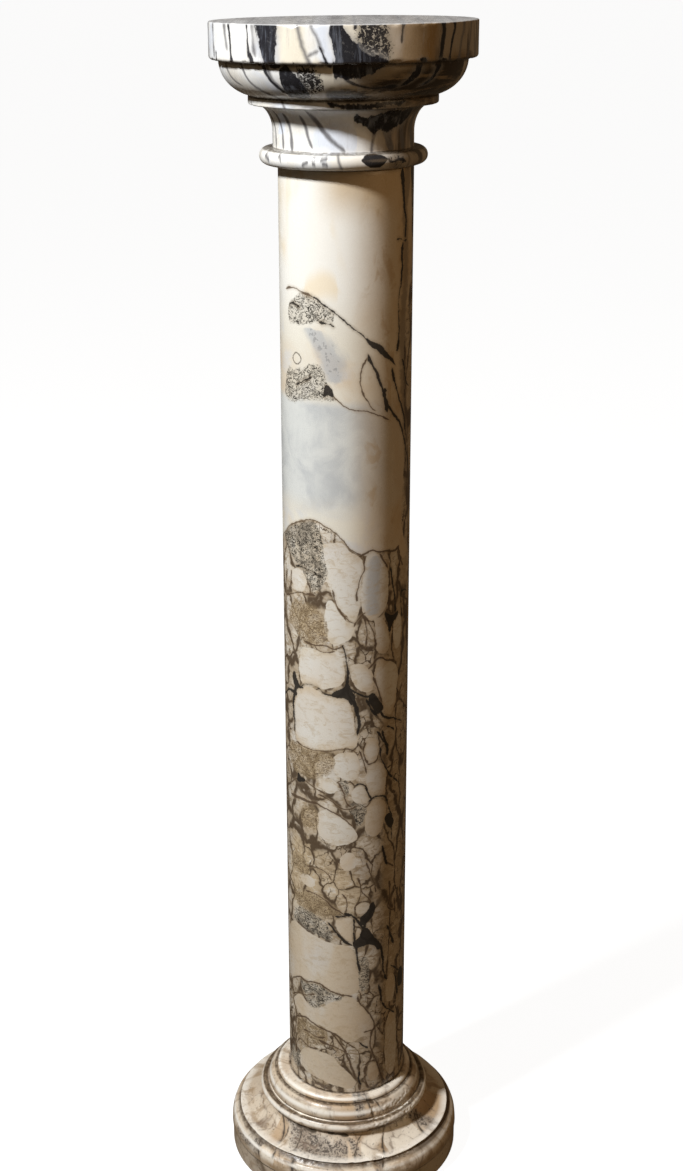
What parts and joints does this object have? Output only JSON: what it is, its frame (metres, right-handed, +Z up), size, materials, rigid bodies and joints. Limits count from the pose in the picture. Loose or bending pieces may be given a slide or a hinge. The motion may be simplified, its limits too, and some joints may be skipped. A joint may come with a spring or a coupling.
{
  "type": "doric pedestal column",
  "caption": "Small freestanding marble pedestal column in the plain Roman Doric manner: round slab capital, smooth straight shaft and moulded round base.",
  "frame": {"origin": "middle of the round underside of the base, on the floor", "axes": "+Z up along the column, -Y towards the viewer of the picture, +X to the viewer's right"},
  "size_m": [0.23, 0.23, 1.1],
  "materials": {
    "capital_marble": "polished",
    "shaft_marble": "polished",
    "base_marble": "worn polish"
  },
  "bodies": {
    "root": {"capital": "capital_marble", "shaft": "shaft_marble", "base": "base_marble"}
  },
  "joints": []
}
